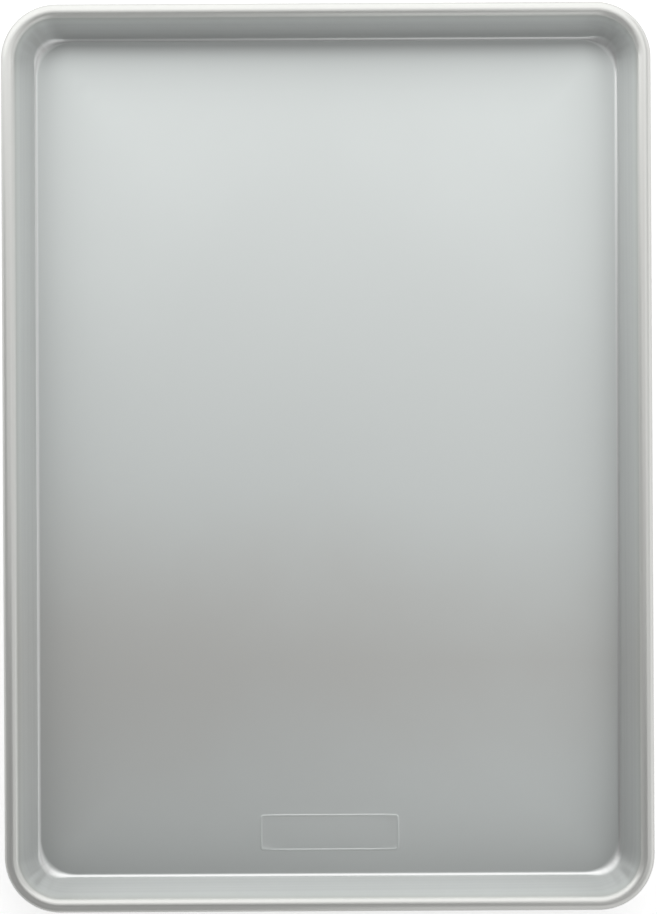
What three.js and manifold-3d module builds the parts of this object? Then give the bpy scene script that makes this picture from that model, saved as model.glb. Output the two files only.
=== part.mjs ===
// Half sheet pan: one aluminium sheet, drawn into a shallow tray, with its edge rolled round a steel wire.
// Millimetres, +Z up, +Y along the pan. The origin is the middle of the underside, on the table.
import * as THREE from "three";
import { mergeVertices } from "three/addons/utils/BufferGeometryUtils.js";
import Module from "manifold-3d";

// Overall size, over the rolled rim
const PAN_WIDTH = 327;
const PAN_LENGTH = 457;
const PAN_HEIGHT = 26;

// The sheet and the way it is drawn
const SHEET_THICKNESS = 1.0;
const WALL_TAPER_DEGREES = 19.5; // lean of the walls from upright, so that pans nest
const RIM_CORNER_RADIUS = 28; // plan radius of the rim's outside
const BASE_CORNER_RADIUS = 18; // plan radius of the flat base, which leaves a wider bend in the corners
const BEND_RADIUS = 2.4; // inside bend between the base and a straight wall

// The wire in the rim, and how tightly the sheet is rolled round it
const WIRE_DIAMETER = 4.8;
const WIRE_CLEARANCE = 0.3;
const WIRE_BUTT_GAP = 1.0; // between the wire's two cut ends
const CURL_EDGE_GAP = 0.3; // between the sheet's rolled edge and the wall that it is tucked against

// The stamped frame near the front of the base: a low ridge round a bare panel
const PANEL_WIDTH = 68.5;
const PANEL_DEPTH = 16.2;
const PANEL_CORNER_RADIUS = 1.2;
const PANEL_FROM_BEND = 12; // from the front bend's inner edge to the panel
const RIDGE_CREST = 0.3;
const RIDGE_FLANK = 0.55; // width of each slope beside the crest
const RIDGE_RISE = 0.16;

// How finely the round stretches are divided
const CORNER_STEPS = 10;
const RUN_UP_STEPS = 2;
const BEND_STEPS = 4;
const BEAD_QUARTER_STEPS = 5;
const BEAD_TUCK_STEPS = 9;
const WIRE_SIDES = 12;
const PANEL_CORNER_STEPS = 4;

// Sizes that follow from those above. An inset is measured inwards from the rim's outside.
const taper = THREE.MathUtils.degToRad(WALL_TAPER_DEGREES);
const beadRadius = WIRE_DIAMETER / 2 + WIRE_CLEARANCE + SHEET_THICKNESS;
const beadCentre = { inset: beadRadius, height: PAN_HEIGHT - beadRadius };
const wallTop = {
  inset: beadCentre.inset + beadRadius * Math.cos(taper),
  height: beadCentre.height + beadRadius * Math.sin(taper),
};
const curlReach = Math.acos((beadRadius - SHEET_THICKNESS - CURL_EDGE_GAP) / beadRadius);
const curlEnd = taper + 2 * Math.PI - curlReach;
const sideInset = bendCentre(BEND_RADIUS).inset;
const baseCornerInset = sideInset + BASE_CORNER_RADIUS;
const baseCorner = new THREE.Vector2(PAN_WIDTH / 2 - baseCornerInset, PAN_LENGTH / 2 - baseCornerInset);
const baseRunUp = baseCornerInset - RIM_CORNER_RADIUS; // the base's corner starts this far before the rim's

// The centre of the bend that touches both the base's upper face and the wall's inside
function bendCentre(bendRadius) {
  const height = SHEET_THICKNESS + bendRadius;
  const sideways = (bendRadius + Math.sin(taper) * (wallTop.height - height)) / Math.cos(taper);
  return { inset: wallTop.inset + sideways, height };
}

// Points of an arc in a section, from one angle to another. Angle 0 points inwards, a quarter turn points up.
function sectionArc(centre, radius, from, to, steps) {
  return Array.from({ length: steps + 1 }, (_, i) => {
    const angle = from + ((to - from) * i) / steps;
    return {
      inset: centre.inset + radius * Math.cos(angle),
      height: centre.height + radius * Math.sin(angle),
    };
  });
}

// One face of the sheet, from the base's edge up the wall, over the wire and under it.
// Depth 0 is the face that food touches, and the sheet's thickness is the other one.
function sheetFace(bendRadius, depth) {
  const up = 0.5 * Math.PI;
  const outward = Math.PI;
  const againstWall = Math.PI + taper;
  const down = 1.5 * Math.PI;
  const beadFace = beadRadius - depth;
  return [
    ...sectionArc(bendCentre(bendRadius), bendRadius + depth, down, againstWall, BEND_STEPS),
    ...sectionArc(beadCentre, beadFace, taper, up, BEAD_QUARTER_STEPS),
    ...sectionArc(beadCentre, beadFace, up, outward, BEAD_QUARTER_STEPS).slice(1),
    ...sectionArc(beadCentre, beadFace, outward, curlEnd, BEAD_TUCK_STEPS).slice(1),
  ];
}

// How far in from the rim the flat base's rounded corner lies, square to the rim
function baseInset({ point, outward }) {
  const corner = baseCorner.clone().multiply(new THREE.Vector2(Math.sign(point.x), Math.sign(point.y)));
  const reach = point.clone().sub(corner);
  const inwards = reach.dot(outward);
  const sideways = reach.cross(outward);
  return inwards - Math.sqrt(BASE_CORNER_RADIUS ** 2 - sideways ** 2);
}

// The sheet's section at a station: out along the upper face to the rolled edge, and back along the underside.
// The bend fills whatever room the base leaves in front of the wall.
function sheetSection(station) {
  const extra = baseInset(station) - sideInset;
  const bendRadius = BEND_RADIUS + (extra * Math.cos(taper)) / (1 - Math.sin(taper));
  return [...sheetFace(bendRadius, 0), ...sheetFace(bendRadius, SHEET_THICKNESS).reverse()];
}

// A station moved along its side
function shifted({ point, outward }, distance) {
  const along = new THREE.Vector2(-outward.y, outward.x);
  return { point: point.clone().addScaledVector(along, distance), outward };
}

// Stations round a rectangle with rounded corners, anticlockwise from its right-hand side.
// Each has its point and the direction out of the rectangle. Run-ups are extra stations on the
// straight sides, at their distances from each corner, the furthest first.
function stationsRound(width, length, cornerRadius, steps, runUps = []) {
  const corners = [[1, 1], [-1, 1], [-1, -1], [1, -1]];
  return corners.flatMap(([sideX, sideY], quarter) => {
    const centre = new THREE.Vector2(
      sideX * (width / 2 - cornerRadius),
      sideY * (length / 2 - cornerRadius),
    );
    const arc = Array.from({ length: steps + 1 }, (_, i) => {
      const angle = (quarter + i / steps) * (Math.PI / 2);
      const outward = new THREE.Vector2(Math.cos(angle), Math.sin(angle));
      return { point: centre.clone().addScaledVector(outward, cornerRadius), outward };
    });
    const before = runUps.map((distance) => shifted(arc[0], -distance));
    const after = runUps.map((distance) => shifted(arc[steps], distance)).reverse();
    return [...before, ...arc, ...after];
  });
}

// A point of a section, set up at a station
function placed(station, { inset, height }) {
  const flat = station.point.clone().addScaledVector(station.outward, -inset);
  return new THREE.Vector3(flat.x, flat.y, height);
}

// Joins the sections of neighbouring stations into a skin. Sections run clockwise, seen along the path.
function skin(stations, sectionAt, { loopPath, loopSection }) {
  const sections = stations.map((station) => sectionAt(station).map((p) => placed(station, p)));
  const count = sections[0].length;
  const triangles = [];
  for (let i = 0; i < sections.length - (loopPath ? 0 : 1); i++) {
    for (let j = 0; j < count - (loopSection ? 0 : 1); j++) {
      const here = i * count;
      const next = ((i + 1) % sections.length) * count;
      const along = (j + 1) % count;
      triangles.push([here + j, here + along, next + along], [here + j, next + along, next + j]);
    }
  }
  return { points: sections.flat(), count, triangles };
}

// A geometry from points and triangles
function geometryFrom(points, triangles) {
  const geometry = new THREE.BufferGeometry().setFromPoints(points);
  geometry.setIndex(triangles.flat());
  geometry.computeVertexNormals();
  return geometry;
}

// Triangles that fill a flat ring of points, turned over for a face that looks back
function fill(indices, flatPoints, turnedOver) {
  const faces = THREE.ShapeUtils.triangulateShape(flatPoints, []);
  return faces.map(([a, b, c]) => {
    const corners = [indices[a], indices[b], indices[c]];
    return turnedOver ? corners.reverse() : corners;
  });
}

// The drawn tray with its rolled rim, before the base is stamped
function drawnTray() {
  const runUps = Array.from({ length: RUN_UP_STEPS }, (_, i) => baseRunUp * (1 - i / RUN_UP_STEPS));
  const stations = stationsRound(PAN_WIDTH, PAN_LENGTH, RIM_CORNER_RADIUS, CORNER_STEPS, runUps);
  const { points, count, triangles } = skin(stations, sheetSection, { loopPath: true, loopSection: false });
  const ringAt = (j) => stations.map((_, i) => i * count + j);
  const plan = (ring) => ring.map((i) => new THREE.Vector2(points[i].x, points[i].y));
  const upperEdge = ringAt(0);
  const lowerEdge = ringAt(count - 1);
  const base = [
    ...fill(upperEdge, plan(upperEdge), false),
    ...fill(lowerEdge, plan(lowerEdge), true),
  ];
  return geometryFrom(points, [...triangles, ...base]);
}

// The stamped frame as a ring with a flat crest. The foot is the height that the ridge rises from, and
// the root is how deep the ring reaches past it: into the sheet for the ridge, below it for the groove.
function frameRing(foot, root) {
  const ridgeWidth = RIDGE_CREST + 2 * RIDGE_FLANK;
  const stations = stationsRound(
    PANEL_WIDTH + 2 * ridgeWidth,
    PANEL_DEPTH + 2 * ridgeWidth,
    PANEL_CORNER_RADIUS + ridgeWidth,
    PANEL_CORNER_STEPS,
  );
  const ridge = [
    { inset: ridgeWidth, height: foot - root },
    { inset: ridgeWidth, height: foot },
    { inset: ridgeWidth - RIDGE_FLANK, height: foot + RIDGE_RISE },
    { inset: RIDGE_FLANK, height: foot + RIDGE_RISE },
    { inset: 0, height: foot },
    { inset: 0, height: foot - root },
  ];
  const { points, triangles } = skin(stations, () => ridge, { loopPath: true, loopSection: true });
  const centreY = -PAN_LENGTH / 2 + sideInset + PANEL_FROM_BEND + PANEL_DEPTH / 2;
  return geometryFrom(points, triangles).translate(0, centreY, 0);
}

// The wire: one length bent round the rim, with its two ends butted at the middle of the far side
function bentWire() {
  const corners = stationsRound(PAN_WIDTH, PAN_LENGTH, RIM_CORNER_RADIUS, CORNER_STEPS);
  const perCorner = CORNER_STEPS + 1;
  const outward = new THREE.Vector2(0, 1);
  const endAt = (x) => ({ point: new THREE.Vector2(x, PAN_LENGTH / 2), outward });
  const stations = [
    endAt(-WIRE_BUTT_GAP / 2),
    ...corners.slice(perCorner),
    ...corners.slice(0, perCorner),
    endAt(WIRE_BUTT_GAP / 2),
  ];
  const round = sectionArc(beadCentre, WIRE_DIAMETER / 2, 0, 2 * Math.PI, WIRE_SIDES).slice(0, -1);
  const { points, count, triangles } = skin(stations, () => round, { loopPath: false, loopSection: true });
  const disc = round.map((p) => new THREE.Vector2(p.inset, p.height));
  const firstEnd = round.map((_, j) => j);
  const lastEnd = firstEnd.map((j) => (stations.length - 1) * count + j);
  const ends = [...fill(firstEnd, disc, true), ...fill(lastEnd, disc, false)];
  return geometryFrom(points, [...triangles, ...ends]);
}

// Solids for the stamping, which raises the ridge and sinks the groove behind it
const wasm = await Module();
wasm.setup();

function solidOf(geometry) {
  const bare = geometry.clone();
  bare.deleteAttribute("normal");
  const merged = mergeVertices(bare);
  const vertProperties = merged.getAttribute("position").array;
  const triVerts = new Uint32Array(merged.index.array);
  return new wasm.Manifold(new wasm.Mesh({ numProp: 3, vertProperties, triVerts }));
}

function geometryOf(solid) {
  const { vertProperties, triVerts } = solid.getMesh();
  const geometry = new THREE.BufferGeometry();
  geometry.setAttribute("position", new THREE.BufferAttribute(vertProperties, 3));
  geometry.setIndex(new THREE.BufferAttribute(triVerts, 1));
  geometry.computeVertexNormals();
  return geometry;
}

// The whole shell: the tray, with the frame raised on its upper face and sunk into its underside
function panShell() {
  const ridge = solidOf(frameRing(SHEET_THICKNESS, SHEET_THICKNESS / 2));
  const groove = solidOf(frameRing(0, SHEET_THICKNESS / 2));
  return geometryOf(solidOf(drawnTray()).add(ridge).subtract(groove));
}

const aluminium = new THREE.MeshStandardMaterial({ color: 0xc9cdcc, roughness: 0.42, metalness: 1 });
const galvanisedSteel = new THREE.MeshStandardMaterial({ color: 0x9aa0a4, roughness: 0.5, metalness: 1 });

function named(name, geometry, material) {
  const mesh = new THREE.Mesh(geometry, material);
  mesh.name = name;
  return mesh;
}

const sheetPan = new THREE.Group();
sheetPan.name = "sheet_pan";
sheetPan.add(named("pan_shell", panShell(), aluminium));
sheetPan.add(named("rim_wire", bentWire(), galvanisedSteel));

export default sheetPan;
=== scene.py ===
# %% [markdown]
# # A half sheet pan in satin aluminium
# A sheet pan is one blank of aluminium. A press draws it into a shallow tray, a second tool rolls its
# edge round a steel wire, and a stamp raises a low frame on the base. This lesson builds that skin again
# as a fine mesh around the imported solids, gives it a finish made only of nodes, and lights it as a pack
# shot from above.

# %% Load the solids and keep their box
import math

import bpy
import numpy as np
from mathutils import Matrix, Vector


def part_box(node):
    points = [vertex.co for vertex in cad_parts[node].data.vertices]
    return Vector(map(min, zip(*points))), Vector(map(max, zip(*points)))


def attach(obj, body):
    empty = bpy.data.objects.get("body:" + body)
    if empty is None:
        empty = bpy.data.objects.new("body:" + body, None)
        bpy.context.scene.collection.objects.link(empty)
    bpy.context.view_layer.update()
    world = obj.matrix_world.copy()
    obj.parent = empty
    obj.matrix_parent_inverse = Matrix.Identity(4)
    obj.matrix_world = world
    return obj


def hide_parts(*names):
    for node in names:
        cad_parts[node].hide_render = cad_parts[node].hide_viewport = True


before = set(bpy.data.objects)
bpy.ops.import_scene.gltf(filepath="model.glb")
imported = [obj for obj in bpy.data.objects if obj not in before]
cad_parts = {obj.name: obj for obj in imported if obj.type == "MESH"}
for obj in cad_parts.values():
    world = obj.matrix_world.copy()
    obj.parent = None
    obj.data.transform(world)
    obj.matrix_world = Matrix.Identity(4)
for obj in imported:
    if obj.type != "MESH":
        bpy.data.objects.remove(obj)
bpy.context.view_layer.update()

# %% [markdown]
# ## Sizes
# The overall sizes come from the boxes of the solids, so the skin can't drift away from them. What a
# box doesn't tell, such as the sheet's thickness or the lean of the walls, is written here once. A
# section of the pan is described by two numbers: the inset, inwards from the rim's outside, and the
# height above the table.

# %% Sizes of the pan
MM = 0.001

shell_low, shell_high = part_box("pan_shell")
wire_low, wire_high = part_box("rim_wire")
PAN_WIDTH = shell_high.x - shell_low.x
PAN_LENGTH = shell_high.y - shell_low.y
PAN_HEIGHT = shell_high.z
WIRE_RADIUS = (wire_high.z - wire_low.z) / 2
BEAD_RADIUS = shell_high.z - wire_high.z + WIRE_RADIUS

SHEET = 1.0 * MM
WALL_TAPER = math.radians(19.5)
RIM_CORNER_RADIUS = 28 * MM
BASE_CORNER_RADIUS = 18 * MM
BEND_RADIUS = 2.4 * MM
RUN_IN_RISE = 0.25 * MM
RUN_IN_LENGTH = 3.5 * MM
CURL_EDGE_GAP = 0.3 * MM
WIRE_BUTT_GAP = 1.0 * MM

PANEL_WIDTH = 68.5 * MM
PANEL_DEPTH = 16.2 * MM
PANEL_CORNER_RADIUS = 1.2 * MM
PANEL_FROM_RIM = 36.96 * MM
RIDGE_CREST = 0.3 * MM
RIDGE_FLANK = 0.55 * MM
RIDGE_RISE = 0.16 * MM

BEAD_CENTRE = np.array([BEAD_RADIUS, PAN_HEIGHT - BEAD_RADIUS])
WALL_NORMAL = np.array([math.cos(WALL_TAPER), math.sin(WALL_TAPER)])
WALL_TOP = BEAD_CENTRE + BEAD_RADIUS * WALL_NORMAL
CURL_TUCK = math.acos((BEAD_RADIUS - SHEET - CURL_EDGE_GAP) / BEAD_RADIUS)
CURL_END = WALL_TAPER + 2 * math.pi - CURL_TUCK
RUN_IN_SLOPE = math.atan(RUN_IN_RISE / RUN_IN_LENGTH)
INSET_PER_BEND = (1 - WALL_NORMAL[1] * math.cos(RUN_IN_SLOPE)) / WALL_NORMAL[0] - math.sin(RUN_IN_SLOPE)


def bend_centre(bend_radius):
    """Inset and height of the bend that meets the base's run-in and touches the wall's inside."""
    height = SHEET + RUN_IN_RISE + bend_radius * math.cos(RUN_IN_SLOPE)
    sideways = (bend_radius + WALL_NORMAL[1] * (WALL_TOP[1] - height)) / WALL_NORMAL[0]
    return np.array([WALL_TOP[0] + sideways, height])


SIDE_INSET = bend_centre(BEND_RADIUS)[0] - BEND_RADIUS * math.sin(RUN_IN_SLOPE)
print(f"bead radius {BEAD_RADIUS / MM:.2f} mm, base edge {SIDE_INSET / MM:.2f} mm in from the rim")

# %% [markdown]
# ## Stations round the rim
# The skin is a loft: the same section is set up at many stations round the rim and the neighbours are
# joined. The stations are bunched where something happens, at the corners and where the stamped frame's
# lines run out to the walls. Each side of the pan runs from the middle of one corner to the middle of
# the next, because the base is later filled by a grid whose own corners sit there.

# %% Lines that the stations follow
CORNER_HALF_STEPS = 16
LINE_SPACING = 7 * MM
RIDGE_WIDTH = RIDGE_CREST + 2 * RIDGE_FLANK
RIDGE_LINES = np.linspace(-0.55, 0.55, 12) * RIDGE_WIDTH
RIDGE_CLEAR = 0.7 * RIDGE_WIDTH
END_LINES = np.array([0, 0.7, 1.5, 2.4, 3.4, 4.6, 6.2, 8.5]) * MM

BASE_HALF = np.array([PAN_WIDTH, PAN_LENGTH]) / 2 - SIDE_INSET
BASE_CORNER = BASE_HALF - BASE_CORNER_RADIUS
GRID_CORNER = BASE_CORNER + BASE_CORNER_RADIUS * math.sqrt(0.5)
PANEL_CENTRE_Y = PANEL_FROM_RIM - PAN_LENGTH / 2
RIDGE_HALF = np.array([PANEL_WIDTH + RIDGE_WIDTH, PANEL_DEPTH + RIDGE_WIDTH]) / 2
RIDGE_CORNER_RADIUS = PANEL_CORNER_RADIUS + RIDGE_WIDTH / 2


def lines_between(half_run, ridge_places):
    """Positions along a straight side: evenly spaced, closer at its ends and closest at each ridge."""
    even_run = half_run - END_LINES[-1] - LINE_SPACING / 2
    even = np.linspace(-even_run, even_run, 2 * round(even_run / LINE_SPACING) + 1)
    plain = np.concatenate([END_LINES - half_run, even, half_run - END_LINES])
    bunches = [place + RIDGE_LINES for place in ridge_places]
    clear = [x for x in plain if all(abs(x - p) > RIDGE_CLEAR for p in ridge_places)]
    return np.sort(np.concatenate([clear, *bunches]))


# The grid stretches its lines a little towards the middle, so the bunches start that much closer in
ridge_x = RIDGE_HALF[0] * np.array([-1, 1]) * GRID_CORNER[0] / BASE_HALF[0]
ridge_y = (PANEL_CENTRE_Y + RIDGE_HALF[1] * np.array([-1, 1])) * GRID_CORNER[1] / BASE_HALF[1]
x_lines = lines_between(PAN_WIDTH / 2 - RIM_CORNER_RADIUS, ridge_x)
y_lines = lines_between(PAN_LENGTH / 2 - RIM_CORNER_RADIUS, ridge_y)
print(f"{len(x_lines)} lines across the pan, {len(y_lines)} along it")


# %% The stations themselves
def side_stations(side, lines, half_depth):
    """Stations of one side, from the middle of a corner: point, outward direction, draw, corner length."""
    normal = np.array([math.cos(side * math.pi / 2), math.sin(side * math.pi / 2)])
    tangent = np.array([-normal[1], normal[0]])
    half_turn = np.linspace(0, math.pi / 4, CORNER_HALF_STEPS + 1)
    turns = np.concatenate([half_turn[::-1][:-1] * -1, np.zeros(len(lines)), half_turn[1:-1]])
    runs = np.concatenate([
        np.full(CORNER_HALF_STEPS, lines[0]), lines, np.full(CORNER_HALF_STEPS - 1, lines[-1])])
    outward = np.cos(turns)[:, None] * normal + np.sin(turns)[:, None] * tangent
    centre = normal * (half_depth - RIM_CORNER_RADIUS) + runs[:, None] * tangent
    draw = np.sin(2 * turns) ** 2
    corner = np.where(turns < 0, side - 1, side) % 4
    corner_turn = np.where(turns < 0, turns + math.pi / 2, turns)
    return centre + RIM_CORNER_RADIUS * outward, outward, draw, corner + RIM_CORNER_RADIUS * corner_turn


sides = [
    side_stations(0, y_lines, PAN_WIDTH / 2),
    side_stations(1, -x_lines[::-1], PAN_LENGTH / 2),
    side_stations(2, -y_lines[::-1], PAN_WIDTH / 2),
    side_stations(3, x_lines, PAN_LENGTH / 2),
]
side_starts = np.cumsum([0] + [len(s[0]) for s in sides])[:4]
rim_point, outward, draw, corner_length = (np.concatenate(column) for column in zip(*sides))
STATIONS = len(rim_point)
print(f"{STATIONS} stations round the rim")


# %% Where the base ends at each station
def base_edge_insets():
    """How far in from the rim the base's own rounded rectangle lies, measured square to the rim."""
    from_corner = rim_point - np.sign(rim_point) * BASE_CORNER
    straight = (np.abs(outward) > 1 - 1e-9) & (np.abs(rim_point[:, ::-1]) <= BASE_CORNER[::-1])
    towards = (from_corner * outward).sum(1)
    short_of = np.maximum(towards ** 2 - (from_corner ** 2).sum(1) + BASE_CORNER_RADIUS ** 2, 0)
    return np.where(straight.any(1), SIDE_INSET, towards - np.sqrt(short_of))


edge_inset = base_edge_insets()
bend_radius = BEND_RADIUS + (edge_inset - SIDE_INSET) / INSET_PER_BEND
tightest, widest = bend_radius.min() / MM, bend_radius.max() / MM
print(f"bend radius {tightest:.2f} mm on the sides, {widest:.2f} mm in the corners")

# %% [markdown]
# ## The section of the sheet
# Seen at a cut, the sheet leaves the base through a bend, climbs the sloped wall, goes over the wire and
# tucks its edge underneath. The bend is wider in the corners, because the metal is drawn furthest there,
# and the corner walls keep faint upright waves from the press. Both faces of the sheet are made, one
# thickness apart, so the skin is a closed body and not a paper surface.

# %% One station's section
BEND_STEPS = 14
WALL_STEPS = 8
BEAD_STEPS = 44
INNER_BEAD_STEPS = 20
DRAW_WAVE = 0.30 * MM
DRAW_WAVE_COUNT = 4
DRAW_WAVE_SHIFT = 1.1


def arc(centre, radius, start, stop, steps):
    """Points of an arc in a section. Angle 0 points inwards, and a quarter turn points up."""
    angles = np.linspace(start, stop, steps + 1)
    return centre + radius * np.stack([np.cos(angles), np.sin(angles)], 1)


def wall_rows(foot, top, wave):
    """Rows of the wall between its bend and its bead, pushed in and out by the press's waves."""
    share = np.linspace(0, 1, WALL_STEPS + 1)[1:-1, None]
    share = share * share * (3 - 2 * share)
    return foot + (top - foot) * share + WALL_NORMAL * wave * np.sin(math.pi * share)


def sheet_face(bend, depth, wave, bead_steps):
    """One face of the sheet from the base's edge to the rolled edge, at a depth into the sheet."""
    turn = (1.5 * math.pi - RUN_IN_SLOPE, math.pi + WALL_TAPER)
    bend = arc(bend_centre(bend), bend + depth, *turn, BEND_STEPS)
    bead = arc(BEAD_CENTRE, BEAD_RADIUS - depth, WALL_TAPER, CURL_END, bead_steps)
    return np.concatenate([bend, wall_rows(bend[-1], bead[0], wave), bead])


def station_section(station):
    turn = (corner_length[station] % 1) / RIM_CORNER_RADIUS
    shift = DRAW_WAVE_SHIFT * int(corner_length[station])
    wave = DRAW_WAVE * draw[station] * math.sin(DRAW_WAVE_COUNT * 4 * turn + shift)
    upper = sheet_face(bend_radius[station], 0, wave, BEAD_STEPS)
    under = sheet_face(bend_radius[station], SHEET, wave, INNER_BEAD_STEPS)
    return np.concatenate([upper, under[::-1]])


sections = np.array([station_section(i) for i in range(STATIONS)])
SECTION_POINTS = sections.shape[1]
UPPER_POINTS = BEND_STEPS + WALL_STEPS + BEAD_STEPS + 1
BEAD_FIRST = BEND_STEPS + WALL_STEPS
print(f"{SECTION_POINTS} points in a section, {UPPER_POINTS} of them on the upper face")

# %% [markdown]
# ## The base and its stamped frame
# The base is a grid of quads. Its border is the loft's own inner edge, so nothing has to be stitched,
# and its inside is the product of two border lines, which keeps them straight in the middle and lets
# them fan out at the corners. The height of each point adds four things: the sheet, the slight crown and
# ripples that a pressed base keeps, the run-in that rises to the bends, and the low ridge of the frame,
# which is read from the distance to a rounded rectangle.

# %% Heights over the base
CROWN = 0.30 * MM
RIPPLE = 0.025 * MM
RIPPLE_COUNT = 9
RIPPLE_RADIANS_PER_METRE = (25, 75)
ripple_draw = np.random.default_rng(7)
ripple_waves = [
    (ripple_draw.uniform(*RIPPLE_RADIANS_PER_METRE),
     ripple_draw.uniform(0, math.tau),
     ripple_draw.uniform(0, math.pi))
    for _ in range(RIPPLE_COUNT)]


def ridge_height(x, y):
    """The stamped frame's rise, from 0 on the base to 1 on the crest."""
    corner = (RIDGE_HALF - RIDGE_CORNER_RADIUS)[:, None]
    away = np.stack([np.abs(x), np.abs(y - PANEL_CENTRE_Y)]) - corner
    outside = np.hypot(*np.maximum(away, 0))
    distance = np.abs(outside + np.minimum(away.max(0), 0) - RIDGE_CORNER_RADIUS)
    rise = np.clip((RIDGE_WIDTH / 2 - distance) / RIDGE_FLANK, 0, 1)
    return rise * rise * (3 - 2 * rise)


def to_base_edge(x, y):
    """Distance inwards from the base's own rounded rectangle."""
    away = np.stack([np.abs(x), np.abs(y)]) - BASE_CORNER[:, None]
    outside = np.hypot(*np.maximum(away, 0))
    return np.maximum(BASE_CORNER_RADIUS - outside - np.minimum(away.max(0), 0), 0)


def base_lift(x, y):
    """How far the base stands above its flat place: crown, small ripples and the run-in at the bends."""
    still = np.clip(1 - (x / BASE_HALF[0]) ** 2, 0, 1) * np.clip(1 - (y / BASE_HALF[1]) ** 2, 0, 1)
    ripples = sum(np.sin(n * (x * math.cos(a) + y * math.sin(a)) + p) for n, p, a in ripple_waves)
    run_in = RUN_IN_RISE * np.exp(-to_base_edge(x, y) / RUN_IN_LENGTH)
    return still * (CROWN + RIPPLE * ripples) + run_in


middle_lift = base_lift(np.zeros(1), np.zeros(1))[0]
print(f"the middle of the base stands {middle_lift / MM:.2f} mm above its flat place")

# %% The grid of the base
across, along = len(sides[3][0]), len(sides[0][0])
border = np.zeros((across + 1, along + 1), int)
border[:, 0] = (side_starts[3] + np.arange(across + 1)) % STATIONS
border[across, :] = (side_starts[0] + np.arange(along + 1)) % STATIONS
border[:, along] = (side_starts[1] + across - np.arange(across + 1)) % STATIONS
border[0, :] = (side_starts[2] + along - np.arange(along + 1)) % STATIONS

floor_edge = rim_point - outward * sections[:, :1, 0]
front_edge = floor_edge[border[:, 0]]
right_edge = floor_edge[border[across, :]]
grid_x = np.outer(front_edge[:, 0], right_edge[:, 0]) / GRID_CORNER[0]
grid_y = np.outer(-front_edge[:, 1], right_edge[:, 1]) / GRID_CORNER[1]
inside = np.zeros(border.shape, bool)
inside[1:-1, 1:-1] = True
print(f"base grid of {across} by {along} quads")

# %% [markdown]
# ## Joining the skin
# Now everything is one mesh: the loft's points first, then the inside points of the upper and the lower
# base. The quads of the loft and of both base grids share their border points, so the skin closes
# without a seam.


# %% Points and faces
def loft_points():
    flat = rim_point[:, None, :] - outward[:, None, :] * sections[:, :, :1]
    return np.concatenate([flat, sections[:, :, 1:]], 2).reshape(-1, 3)


def loft_faces():
    here = np.arange(STATIONS)[:, None] * SECTION_POINTS
    there = (np.arange(STATIONS)[:, None] + 1) % STATIONS * SECTION_POINTS
    row = np.arange(SECTION_POINTS - 1)[None, :]
    return np.stack([here + row, here + row + 1, there + row + 1, there + row], 2).reshape(-1, 4)


def base_points(height):
    x, y = grid_x[inside], grid_y[inside]
    z = height + base_lift(x, y) + RIDGE_RISE * ridge_height(x, y)
    return np.stack([x, y, z], 1)


def base_faces(section_row, first_point):
    """Quads of one base grid, whose border is a row of the loft's sections."""
    place = border * SECTION_POINTS + section_row
    place[inside] = first_point + np.arange(inside.sum())
    return np.stack([place[:-1, :-1], place[1:, :-1], place[1:, 1:], place[:-1, 1:]], 2).reshape(-1, 4)


loft = loft_points()
upper_base = base_points(SHEET)
lower_base = base_points(0.0)
shell_points = np.concatenate([loft, upper_base, lower_base])
shell_faces = np.concatenate([
    loft_faces(),
    base_faces(0, len(loft)),
    base_faces(SECTION_POINTS - 1, len(loft) + len(upper_base))[:, ::-1],
])
print(f"shell: {len(shell_points)} points, {len(shell_faces)} faces")

# %% [markdown]
# ## Numbers for the finish
# The base is painted a darker grey along its edges, as painted shade where the walls keep light off it,
# stronger at the back and in the front corners, and a thin line of painted shade lies where the wall
# meets the bead. Each point of the mesh carries a few plain numbers that the finish reads later: how far
# it lies along the section, whether it is on a bend, a wall or the bead, how far the metal was drawn
# there, how far round a corner it lies, and how much painted shade it gets.

# %% Shares over the rows of a section
BEND_FADE_IN = 5
BEND_FADE_OUT = 3
BEAD_FADE_IN = 3
face_row = np.arange(BEAD_FIRST + 1)
bend_ends = BEND_STEPS - BEND_FADE_OUT
bend_face = np.interp(face_row, [0, BEND_FADE_IN, bend_ends, BEND_STEPS], [0, 1, 1, 0])
# The band at the foot of the bend and the joint just under the bead carry painted shade.
band_face = np.interp(face_row, [0, BEND_FADE_IN], [1, 0])
bead_face = np.interp(face_row, [BEAD_FIRST - BEAD_FADE_IN, BEAD_FIRST], [0, 1])
wall_face = np.interp(face_row, [bend_ends, BEND_STEPS], [0, 1]) - bead_face
joint_face = np.interp(face_row, [BEAD_FIRST - 2, BEAD_FIRST - 1, BEAD_FIRST], [0, 0.6, 1])


def both_faces(rows, on_bead):
    """Values of a section's rows: up one face of the sheet, over the bead and down the other face."""
    middle = np.full(SECTION_POINTS - 2 * len(rows), on_bead)
    return np.concatenate([rows, middle, rows[::-1]])[None, :]


print(f"{len(face_row)} rows from the base to the bead")

# %% Where the painted shade lies
WIDE_BAND = 14 * MM
NARROW_BAND = 6 * MM
CORNER_BAND = 25 * MM
BACK_SHADE = 0.70
FRONT_SHADE = 0.52
SIDE_SHADE = 0.42
BACK_SHADOW = 0.42
CORNER_SHADE = 0.30
JOINT_SHADE = 0.25


def painted_shade_share(x, y):
    """Painted shade on the base: all round its edges, stronger at the back and in the front corners."""
    to_side, to_end = BASE_HALF[0] - np.abs(x), BASE_HALF[1] - np.abs(y)
    end_share = to_side / (to_side + to_end)
    to_edge = to_base_edge(x, y)
    soft = SIDE_SHADE + (np.where(y > 0, BACK_SHADE, FRONT_SHADE) - SIDE_SHADE) * end_share
    # A narrow band at the back is a painted shadow of the back wall.
    hard = np.where(y > 0, BACK_SHADOW, 0.0) * end_share
    corner = np.where(y < 0, CORNER_SHADE, 0.0) * np.exp(-(to_side + to_end) / CORNER_BAND)
    return soft * np.exp(-to_edge / WIDE_BAND) + hard * np.exp(-(to_edge / NARROW_BAND) ** 2) + corner


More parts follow.
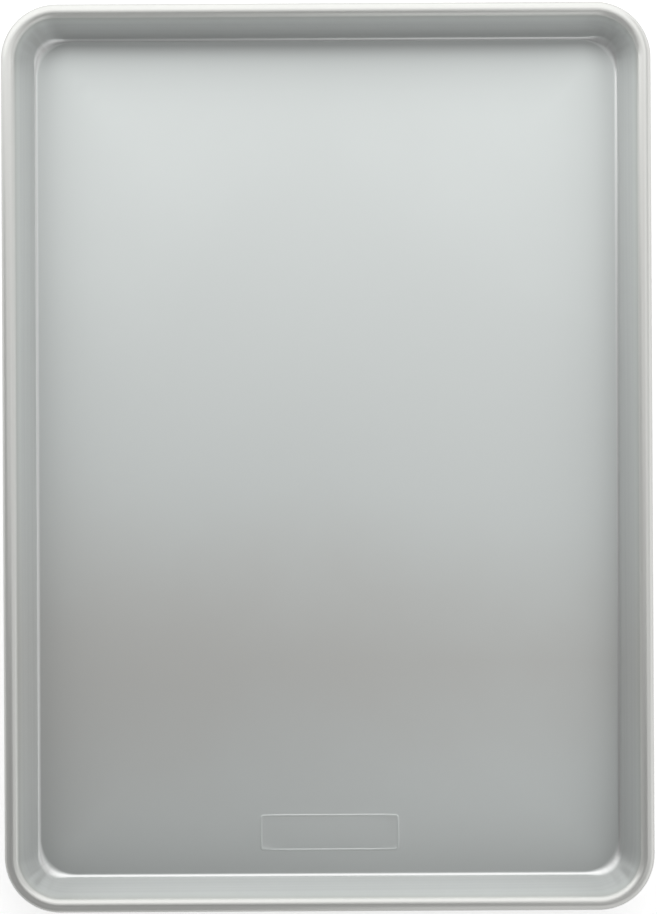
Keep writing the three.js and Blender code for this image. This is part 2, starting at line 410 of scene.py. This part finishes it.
painted_shade_base = painted_shade_share(*upper_base[:, :2].T)
painted_shade_bend = painted_shade_share(*floor_edge.T)[:, None] * both_faces(band_face, 0.0)
painted_shade_joint = JOINT_SHADE * both_faces(joint_face, 0.0)
print(f"rubbed share of the base: {painted_shade_base.min():.3f} to {painted_shade_base.max():.2f}")

# %% All numbers, point by point
section_steps = np.hypot(*np.moveaxis(np.diff(sections, axis=1), 2, 0))
section_length = np.concatenate([np.zeros((STATIONS, 1)), np.cumsum(section_steps, 1)], 1)
base_count = len(upper_base) + len(lower_base)


def point_numbers(on_loft, on_base=0.0):
    """A number for each point: a table over the loft, then one value, or a row of them, over the base."""
    table = np.broadcast_to(on_loft, (STATIONS, SECTION_POINTS)).ravel()
    return np.concatenate([table, np.broadcast_to(on_base, base_count)])


shell_numbers = {
    "across": point_numbers(section_length),
    "bend": point_numbers(both_faces(bend_face, 0.0)),
    "wall": point_numbers(both_faces(wall_face, 0.0)),
    "bead": point_numbers(both_faces(bead_face, 1.0)),
    "draw": point_numbers(draw[:, None]),
    "corner_length": point_numbers(corner_length[:, None]),
    "painted_shade": point_numbers(painted_shade_bend + painted_shade_joint, np.tile(painted_shade_base, 2)),
}
print("numbers on the points:", ", ".join(shell_numbers))


# %% The mesh objects
def mesh_piece(name, points, faces, numbers=None):
    """A smooth-shaded mesh object in the scene, with its numbers as point attributes."""
    mesh = bpy.data.meshes.new(name)
    mesh.from_pydata(points.tolist(), [], [list(map(int, f)) for f in faces])
    for label, values in (numbers or {}).items():
        mesh.attributes.new(label, "FLOAT", "POINT").data.foreach_set("value", values.astype(np.float32))
    mesh.shade_smooth()
    mesh.validate()
    piece = bpy.data.objects.new(name, mesh)
    bpy.context.scene.collection.objects.link(piece)
    return piece


drawn_shell = mesh_piece("drawn_shell", shell_points, shell_faces, shell_numbers)
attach(drawn_shell, "root")
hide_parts("pan_shell")
print("drawn_shell:", len(drawn_shell.data.polygons), "faces")

# %% [markdown]
# ## The wire in the rim
# The wire can't be seen while the rim is whole, but it is a real piece of the pan, so it gets a round
# section, smooth corners and cut ends with a small chamfer. It is swept along the same stations as the
# sheet.

# %% Sweep the wire
WIRE_SIDES = 20
WIRE_CHAMFER = 0.4 * MM


def wire_path():
    """Centre points and outward directions, from one cut end round the pan to the other."""
    after_end = np.roll(np.arange(STATIONS), -(side_starts[1] + len(sides[1][0]) // 2))
    middle = np.abs(rim_point[after_end, 0]) > LINE_SPACING
    keep = after_end[middle | (rim_point[after_end, 1] < 0)]
    ends = np.array([-1, -1, 1, 1]) * WIRE_BUTT_GAP / 2 + np.array([0, -1, 1, 0]) * WIRE_CHAMFER
    end_points = np.stack([ends, np.full(4, PAN_LENGTH / 2)], 1)
    points = np.concatenate([end_points[:2], rim_point[keep], end_points[2:]])
    directions = np.concatenate([np.tile([0.0, 1.0], (2, 1)), outward[keep], np.tile([0.0, 1.0], (2, 1))])
    return points, directions


def swept_wire():
    points, directions = wire_path()
    radii = np.full(len(points), WIRE_RADIUS)
    radii[[0, -1]] -= WIRE_CHAMFER
    angles = np.linspace(0, math.tau, WIRE_SIDES, endpoint=False)
    inset = BEAD_CENTRE[0] + radii[:, None] * np.cos(angles)
    height = BEAD_CENTRE[1] + radii[:, None] * np.sin(angles)
    flat = points[:, None, :] - directions[:, None, :] * inset[:, :, None]
    skin = np.concatenate([flat, height[:, :, None]], 2).reshape(-1, 3)
    ring = np.arange(len(points) - 1)[:, None] * WIRE_SIDES
    side = np.arange(WIRE_SIDES)[None, :]
    turn = (side + 1) % WIRE_SIDES
    quads = np.stack([ring + side, ring + turn, ring + WIRE_SIDES + turn, ring + WIRE_SIDES + side], 2)
    first_end = np.arange(WIRE_SIDES)[::-1].tolist()
    last_end = ((len(points) - 1) * WIRE_SIDES + np.arange(WIRE_SIDES)).tolist()
    return skin, quads.reshape(-1, 4).tolist() + [first_end, last_end]


bent_wire = mesh_piece("bent_wire", *swept_wire())
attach(bent_wire, "root")
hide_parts("rim_wire")
print("bent_wire:", len(bent_wire.data.polygons), "faces")

# %% [markdown]
# ## Shader maths as Python
# A finish is a small formula over the surface. One class wraps a node's output so that formulas read as
# Python, and each operator adds the Math node it stands for. Every other node comes from one method,
# which sets the node's settings first and then its sockets.


# %% Sockets in expressions
class Socket:
    """An output of a shader node that can be added, multiplied and so on."""

    def __init__(self, finish, output):
        self.finish = finish
        self.output = output

    def __add__(self, other):
        return self.finish.math("ADD", self, other)

    def __sub__(self, other):
        return self.finish.math("SUBTRACT", self, other)

    def __rsub__(self, other):
        return self.finish.math("SUBTRACT", other, self)

    def __mul__(self, other):
        return self.finish.math("MULTIPLY", self, other)

    __radd__ = __add__
    __rmul__ = __mul__


class Finish:
    """A material or world whose nodes are added by name, setting and socket."""

    def __init__(self, owner):
        owner.use_nodes = True
        self.tree = owner.node_tree
        self.tree.nodes.clear()

    def node(self, kind, settings=None, sockets=None, output=0):
        made = self.tree.nodes.new(kind)
        for name, value in (settings or {}).items():
            setattr(made, name, value)
        by_name = {s.name: s for s in reversed(made.inputs)} | {s.identifier: s for s in made.inputs}
        for name, value in (sockets or {}).items():
            if isinstance(value, Socket):
                self.tree.links.new(value.output, by_name[name])
            else:
                by_name[name].default_value = value
        return Socket(self, made.outputs[output]) if made.outputs else None

    def math(self, operation, first, second=0.0):
        values = {"Value": first, "Value_001": second}
        return self.node("ShaderNodeMath", {"operation": operation}, values)

    def stretched(self, vector, scale):
        """A vector times a scale for each axis."""
        values = {"Vector": vector, "Vector_001": scale}
        return self.node("ShaderNodeVectorMath", {"operation": "MULTIPLY"}, values)

    def mixed(self, share, first, second):
        """A colour between two colours."""
        values = {"Factor_Float": share, "A_Color": first, "B_Color": second}
        return self.node("ShaderNodeMix", {"data_type": "RGBA"}, values, output=2)

    def between(self, value, low, high):
        """0 below low, 1 above high and a soft step in between."""
        values = {"Value": value, "From Min": low, "From Max": high}
        return self.node("ShaderNodeMapRange", {"interpolation_type": "SMOOTHSTEP"}, values)

    def noise(self, vector, scale, detail=2.0, roughness=0.5):
        values = {"Vector": vector, "Scale": scale, "Detail": detail, "Roughness": roughness}
        return self.node("ShaderNodeTexNoise", None, values)

    def number(self, name):
        """One of the numbers that ride on the mesh's points."""
        return self.node("ShaderNodeAttribute", {"attribute_name": name}, output=2)


def new_finish(name):
    material = bpy.data.materials.new(name)
    return material, Finish(material)


print("expressions are ready")

# %% [markdown]
# ## Satin aluminium
# Uncoated bakeware aluminium leaves the mill with fine lines along the rolling direction, and the press
# adds almost nothing to the flat base, so the base is an even satin. The walls and bends are stretched
# over the die and come out smoother, the rolling wheels burnish the bead, and in the corners the metal
# is gathered into streaks and fine creases. A thin film of oxide leaves part of most zones matt. The
# colour drifts only a little, and the drift is painted light and shade: brighter towards the back, darker
# and warmer over the front middle, and darker along the base's edges and where the wall meets the bead.

# %% Where each part of the finish lies
satin_aluminium, sheet = new_finish("satin_aluminium")
place = sheet.node("ShaderNodeTexCoord", output="Object")
along_section = sheet.number("across")
bend = sheet.number("bend")
wall = sheet.number("wall")
bead = sheet.number("bead")
painted_shade = sheet.number("painted_shade")
drawn = sheet.number("draw")
gathered = bead * drawn
print("zones of the sheet:", len(satin_aluminium.node_tree.nodes), "nodes")

# %% Grain, lines and creases
ROLLING_PER_METRE = (1100.0, 14.0, 14.0)
CLOUDS_PER_METRE = 9.0
WHEEL_SPACING = 0.33 * MM
WHEEL_WANDER = 25.0
DRAW_SPACING = 2.2 * MM
DRAW_WANDER = 5.0
CREASES_PER_METRE = (900.0, 110.0)
STREAKS_PER_METRE = (150.0, 12.0)


def rim_lines(spacing, wander):
    """Lines that run round the pan, a spacing apart along the section. Wander is their drift per metre."""
    across = sheet.node("ShaderNodeCombineXYZ", None, {"X": along_section * (1 / spacing)})
    drift = sheet.stretched(place, (wander, wander, 0.0))
    both = {"Vector": across, "Vector_001": drift}
    return sheet.noise(sheet.node("ShaderNodeVectorMath", {"operation": "ADD"}, both), 1.0)


def corner_marks(around, upwards, detail, roughness=0.5):
    """Marks that run up a corner: closer round the corner than along the section, counted per metre."""
    marks = {"X": sheet.number("corner_length") * around, "Y": along_section * upwards}
    return sheet.noise(sheet.node("ShaderNodeCombineXYZ", None, marks), 1.0, detail, roughness)


rolling_grain = sheet.noise(sheet.stretched(place, ROLLING_PER_METRE), 1.0, detail=3.0, roughness=0.6)
cloud = sheet.noise(place, CLOUDS_PER_METRE, detail=3.0, roughness=0.55)
wheel_lines = rim_lines(WHEEL_SPACING, WHEEL_WANDER)
draw_lines = rim_lines(DRAW_SPACING, DRAW_WANDER)
creases = corner_marks(*CREASES_PER_METRE, detail=3.0, roughness=0.65)
streaks = corner_marks(*STREAKS_PER_METRE, detail=1.0)
print("textures of the sheet:", len(satin_aluminium.node_tree.nodes), "nodes")

# %% How shiny the sheet is
BASE_ROUGHNESS = 0.50
WALL_ROUGHNESS = 0.34
BEND_ROUGHNESS = 0.30
BEAD_ROUGHNESS = 0.31
CLOUD_ROUGHNESS = 0.06
CREASE_ROUGHNESS = 0.10
DRAWN_ROUGHNESS = 0.14
BASE_METAL = 0.75
BEND_METAL = 1.00
BEAD_METAL = 0.60
roughness = BASE_ROUGHNESS + wall * (WALL_ROUGHNESS - BASE_ROUGHNESS)
roughness = roughness + bend * (BEND_ROUGHNESS - BASE_ROUGHNESS)
roughness = roughness + bead * (BEAD_ROUGHNESS - BASE_ROUGHNESS)
roughness = roughness + (cloud - 0.5) * CLOUD_ROUGHNESS + gathered * (creases - 0.5) * CREASE_ROUGHNESS
roughness = roughness + bend * drawn * DRAWN_ROUGHNESS
metal_share = BASE_METAL + bend * (BEND_METAL - BASE_METAL) + bead * (BEAD_METAL - BASE_METAL)
print("with roughness:", len(satin_aluminium.node_tree.nodes), "nodes")

# %% Colour of the sheet
# Of these colours, the second is painted light for the back of the base, the third painted shade for its
# front middle, and the last painted shade for its edges, front corners and the joint under the bead.
COOL_ALUMINIUM = (0.832, 0.869, 0.858, 1)
PAINTED_LIGHT_ALUMINIUM = (0.878, 0.918, 0.906, 1)
FRONT_SHADE_ALUMINIUM = (0.738, 0.744, 0.722, 1)
DULL_ALUMINIUM = (0.775, 0.784, 0.778, 1)
CLEAR_ALUMINIUM = (0.800, 0.809, 0.803, 1)
STREAKED_ALUMINIUM = (0.720, 0.725, 0.716, 1)
BEAD_ALUMINIUM = (0.800, 0.804, 0.778, 1)
PAINTED_SHADE_GREY = (0.385, 0.400, 0.395, 1)
FRONT_SHADE_CENTRE_Y = -105 * MM
FRONT_SHADE_HALF_LENGTH = 75 * MM
FRONT_SHADE_LEAN_PER_METRE = 2.0
FRONT_SHADE_STEP = (-0.3, 1.2)
PAINTED_LIGHT_CURVE = 0.8
PAINTED_LIGHT_WANDER = 200 * MM
PAINTED_LIGHT_STEP = (120 * MM, 300 * MM)
DRAW_LINE_STEP = (0.35, 0.65)
STREAK_STEP = (0.40, 0.66)

place_x = sheet.node("ShaderNodeSeparateXYZ", None, {"Vector": place}, output="X")
place_y = sheet.node("ShaderNodeSeparateXYZ", None, {"Vector": place}, output="Y")
# Painted shade: the base turns darker and warmer over its front middle, leaning to the left.
from_front_shade = sheet.math("ABSOLUTE", place_y - FRONT_SHADE_CENTRE_Y) * (1 / FRONT_SHADE_HALF_LENGTH)
painted_front_shade = sheet.between(1.0 - from_front_shade - place_x * FRONT_SHADE_LEAN_PER_METRE + cloud - 0.5, *FRONT_SHADE_STEP)
# Painted light: the base turns brighter towards the back, and more so towards its back corners, where the
# strongest light falls.
from_middle = sheet.math("ABSOLUTE", place_x)
towards_back = place_y + from_middle * PAINTED_LIGHT_CURVE + (cloud - 0.5) * PAINTED_LIGHT_WANDER
painted_light_share = sheet.between(towards_back, *PAINTED_LIGHT_STEP)
base_colour = sheet.mixed(painted_light_share, COOL_ALUMINIUM, PAINTED_LIGHT_ALUMINIUM)
base_colour = sheet.mixed(painted_front_shade, base_colour, FRONT_SHADE_ALUMINIUM)
rim_colour = sheet.mixed(sheet.between(draw_lines, *DRAW_LINE_STEP), DULL_ALUMINIUM, CLEAR_ALUMINIUM)
rim_colour = sheet.mixed(sheet.between(streaks, *STREAK_STEP) * drawn, rim_colour, STREAKED_ALUMINIUM)
colour = sheet.mixed(wall + bend, base_colour, rim_colour)
colour = sheet.mixed(bead, colour, BEAD_ALUMINIUM)
# Painted shade: the base's edges, its front corners, the foot of the bend and the joint under the bead are
# mixed towards a dark grey.
colour = sheet.mixed(painted_shade, colour, PAINTED_SHADE_GREY)
print("with colour:", len(satin_aluminium.node_tree.nodes), "nodes")

# %% Relief and surface of the sheet
GRAIN_HEIGHT_MM = 0.0012
WHEEL_HEIGHT_MM = 0.0015
CREASE_HEIGHT_MM = 0.05
relief = (rolling_grain - 0.5) * GRAIN_HEIGHT_MM * (1 - bead - bend)
relief = relief + (wheel_lines - 0.5) * WHEEL_HEIGHT_MM * bead
relief = relief + (creases - 0.5) * CREASE_HEIGHT_MM * gathered
bump = sheet.node("ShaderNodeBump", None, {"Strength": 1.0, "Distance": MM, "Height": relief})
surface = sheet.node("ShaderNodeBsdfPrincipled", None, {
    "Base Color": colour, "Metallic": metal_share, "Roughness": roughness, "Normal": bump})
sheet.node("ShaderNodeOutputMaterial", None, {"Surface": surface})
drawn_shell.data.materials.append(satin_aluminium)
print("satin_aluminium:", len(satin_aluminium.node_tree.nodes), "nodes")

# %% [markdown]
# ## Galvanised wire
# Hot zinc sets in crystals, which show as patches of slightly different grey and shine along the wire.
# Cells from a Voronoi texture stand for them.

# %% The wire's finish
CRYSTALS_PER_METRE = 450.0
DARK_ZINC = (0.50, 0.52, 0.54, 1)
LIGHT_ZINC = (0.66, 0.68, 0.70, 1)
ZINC_ROUGHNESS = 0.42
CRYSTAL_ROUGHNESS = 0.16
ZINC_GRAINS_PER_METRE = 1500.0
ZINC_GRAIN_HEIGHT = 0.02 * MM
galvanised_steel, zinc = new_finish("galvanised_steel")
zinc_place = zinc.node("ShaderNodeTexCoord", output="Object")
cells = {"Vector": zinc_place, "Scale": CRYSTALS_PER_METRE}
crystals = zinc.node("ShaderNodeTexVoronoi", None, cells, output="Color")
crystal = zinc.node("ShaderNodeSeparateColor", None, {"Color": crystals})
zinc_colour = zinc.mixed(crystal, DARK_ZINC, LIGHT_ZINC)
zinc_roughness = ZINC_ROUGHNESS + crystal * CRYSTAL_ROUGHNESS
zinc_grain = zinc.noise(zinc_place, ZINC_GRAINS_PER_METRE)
zinc_bump = zinc.node("ShaderNodeBump", None, {
    "Strength": 0.4, "Distance": ZINC_GRAIN_HEIGHT, "Height": zinc_grain})
zinc_surface = zinc.node("ShaderNodeBsdfPrincipled", None, {
    "Base Color": zinc_colour, "Metallic": 1.0, "Roughness": zinc_roughness, "Normal": zinc_bump})
zinc.node("ShaderNodeOutputMaterial", None, {"Surface": zinc_surface})
bent_wire.data.materials.append(galvanised_steel)
print("galvanised_steel:", len(galvanised_steel.node_tree.nodes), "nodes")

# %% [markdown]
# ## The white table
# A pack shot stands on a white sweep. The floor is a plain pale surface that also glows for camera rays,
# so that it shows as white next to the metal while it still keeps the pan's soft shadow. In reflections
# the glow is weaker, because the rim would lose its outline against a full white.

# %% The floor
FLOOR_HALF = 6.0
FLOOR_DROP = 0.05 * MM
CAMERA_GLOW = 0.60
MIRRORED_GLOW = 0.25
PAPER = (0.80, 0.80, 0.80, 1)
WHITE = (1, 1, 1, 1)
floor_paint, sweep = new_finish("white_sweep")
camera_ray = sweep.node("ShaderNodeLightPath", output="Is Camera Ray")
glossy_ray = sweep.node("ShaderNodeLightPath", output="Is Glossy Ray")
through_ray = sweep.node("ShaderNodeLightPath", output="Is Transmission Ray")
floor_glow = camera_ray * CAMERA_GLOW + (glossy_ray + through_ray) * MIRRORED_GLOW
glow = sweep.node("ShaderNodeEmission", None, {"Color": WHITE, "Strength": floor_glow})
paper = sweep.node("ShaderNodeBsdfDiffuse", None, {"Color": PAPER})
glowing_paper = sweep.node("ShaderNodeAddShader", None, {"Shader": paper, "Shader_001": glow})
sweep.node("ShaderNodeOutputMaterial", None, {"Surface": glowing_paper})
floor_corners = FLOOR_HALF * np.array([[-1, -1, 0], [1, -1, 0], [1, 1, 0], [-1, 1, 0]])
white_sweep = mesh_piece("white_sweep", floor_corners, [[0, 1, 2, 3]])
white_sweep.location.z = -FLOOR_DROP
white_sweep.data.materials.append(floor_paint)
print("floor:", FLOOR_HALF * 2, "m square")

# %% [markdown]
# ## Studio light
# Satin metal has no colour of its own to show: it shows the room. So the light is a tent of soft panels,
# each a plain sheet that glows. The brighter ones stand at the back, where the photograph's highlights
# point back to, and the darker ones hang over the front. A panel's strength is the brightness that the
# metal mirrors, with 1 as white. Outside the tent the room is plain white.

# %% Soft panels
TENT_X = 0.9
TENT_Y = 1.1
TENT_TOP = 0.9
LOW_TOP = 0.35
KEY_Y = 0.75
BACK_Y = 0.30
MIDDLE_Y = -0.10
FRONT_Y = -0.45
LEFT_Y = 0.25
OVERHEAD_X = 0.25
RIGHT_X = 0.55
FRONT_X = 0.20


def soft_panel(name, low, high, strength):
    """A glowing sheet between two corners that share one coordinate. The camera doesn't see it."""
    low, high = np.array(low, float), np.array(high, float)
    one, two = np.flatnonzero(high > low)
    corners = np.tile(low, (4, 1))
    corners[1:3, one] = high[one]
    corners[2:4, two] = high[two]
    panel = mesh_piece(name, corners, [[0, 1, 2, 3]])
    panel.visible_camera = False
    paint, light = new_finish(name + "_glow")
    lit = light.node("ShaderNodeEmission", None, {"Color": WHITE, "Strength": strength})
    light.node("ShaderNodeOutputMaterial", None, {"Surface": lit})
    panel.data.materials.append(paint)
    return panel


def top_panel(name, x_range, y_range, strength):
    """A panel in the top of the tent, between two places on each axis."""
    low, high = ((x, y, TENT_TOP) for x, y in zip(x_range, y_range))
    return soft_panel(name, low, high, strength)


ALL_X = (-TENT_X, TENT_X)
panels = [
    top_panel("panel_key", ALL_X, (KEY_Y, TENT_Y), 1.5),
    top_panel("panel_high_back", ALL_X, (BACK_Y, KEY_Y), 1.2),
    top_panel("panel_overhead", (-OVERHEAD_X, OVERHEAD_X), (MIDDLE_Y, BACK_Y), 0.6),
    top_panel("panel_overhead_left", (-TENT_X, -OVERHEAD_X), (MIDDLE_Y, BACK_Y), 0.7),
    top_panel("panel_overhead_right", (OVERHEAD_X, RIGHT_X), (MIDDLE_Y, BACK_Y), 0.95),
    top_panel("panel_high_right", (RIGHT_X, TENT_X), (MIDDLE_Y, BACK_Y), 0.7),
    top_panel("panel_high_front", (-TENT_X, FRONT_X), (FRONT_Y, MIDDLE_Y), 0.05),
    top_panel("panel_high_front_right", (FRONT_X, TENT_X), (FRONT_Y, MIDDLE_Y), 0.6),
    top_panel("panel_far_front", ALL_X, (-TENT_Y, FRONT_Y), 0.3),
    soft_panel("panel_back_low", (-TENT_X, TENT_Y, 0.0), (TENT_X, TENT_Y, LOW_TOP), 1.4),
    soft_panel("panel_back", (-TENT_X, TENT_Y, LOW_TOP), (TENT_X, TENT_Y, TENT_TOP), 1.2),
    soft_panel("panel_right_low", (TENT_X, -TENT_Y, 0.0), (TENT_X, TENT_Y, LOW_TOP), 1.0),
    soft_panel("panel_right", (TENT_X, -TENT_Y, LOW_TOP), (TENT_X, TENT_Y, TENT_TOP), 0.5),
    soft_panel("panel_left_back", (-TENT_X, LEFT_Y, 0.0), (-TENT_X, TENT_Y, TENT_TOP), 1.4),
    soft_panel("panel_left_front", (-TENT_X, -TENT_Y, 0.0), (-TENT_X, LEFT_Y, TENT_TOP), 0.25),
    soft_panel("panel_front_left", (-TENT_X, -TENT_Y, 0.0), (0.0, -TENT_Y, TENT_TOP), 0.25),
    soft_panel("panel_front_right", (0.0, -TENT_Y, 0.0), (TENT_X, -TENT_Y, TENT_TOP), 0.75),
]
print("panels:", [p.name for p in panels])

# %% Room light
room = bpy.data.worlds.new("room")
bpy.context.scene.world = room
walls = Finish(room)
background = walls.node("ShaderNodeBackground", None, {"Color": WHITE, "Strength": 1.0})
walls.node("ShaderNodeOutputWorld", None, {"Surface": background})
print("room:", room.name)

# %% [markdown]
# ## Camera
# The photograph looks straight down from well above the pan, so the walls hardly lean in the picture. A
# long lens keeps that. The pan lies about a third of a degree turned and a pixel off the middle, and the
# camera turns and shifts by as much.

# %% The camera
FRAME_PIXELS = (657, 914)
RIM_MM_PER_PIXEL = 0.502
CAMERA_ABOVE_RIM = 1.5
PAN_TURN = math.radians(0.29)
PAN_CENTRE_PIXEL = (327.7, 457.1)

view = bpy.data.cameras.new("camera")
view.sensor_width = 36.0
view.lens = view.sensor_width * CAMERA_ABOVE_RIM / (FRAME_PIXELS[1] * RIM_MM_PER_PIXEL * MM)
camera = bpy.data.objects.new("camera", view)
off_x = (FRAME_PIXELS[0] / 2 - PAN_CENTRE_PIXEL[0]) * RIM_MM_PER_PIXEL * MM
off_y = (PAN_CENTRE_PIXEL[1] - FRAME_PIXELS[1] / 2) * RIM_MM_PER_PIXEL * MM
camera.location = (off_x, off_y, PAN_HEIGHT + CAMERA_ABOVE_RIM)
camera.rotation_euler = (0, 0, -PAN_TURN)
view.clip_end = 20
bpy.context.scene.collection.objects.link(camera)
bpy.context.scene.camera = camera
bpy.context.scene.view_settings.view_transform = "Standard"
print(f"lens {view.lens:.0f} mm, {CAMERA_ABOVE_RIM} m above the rim")
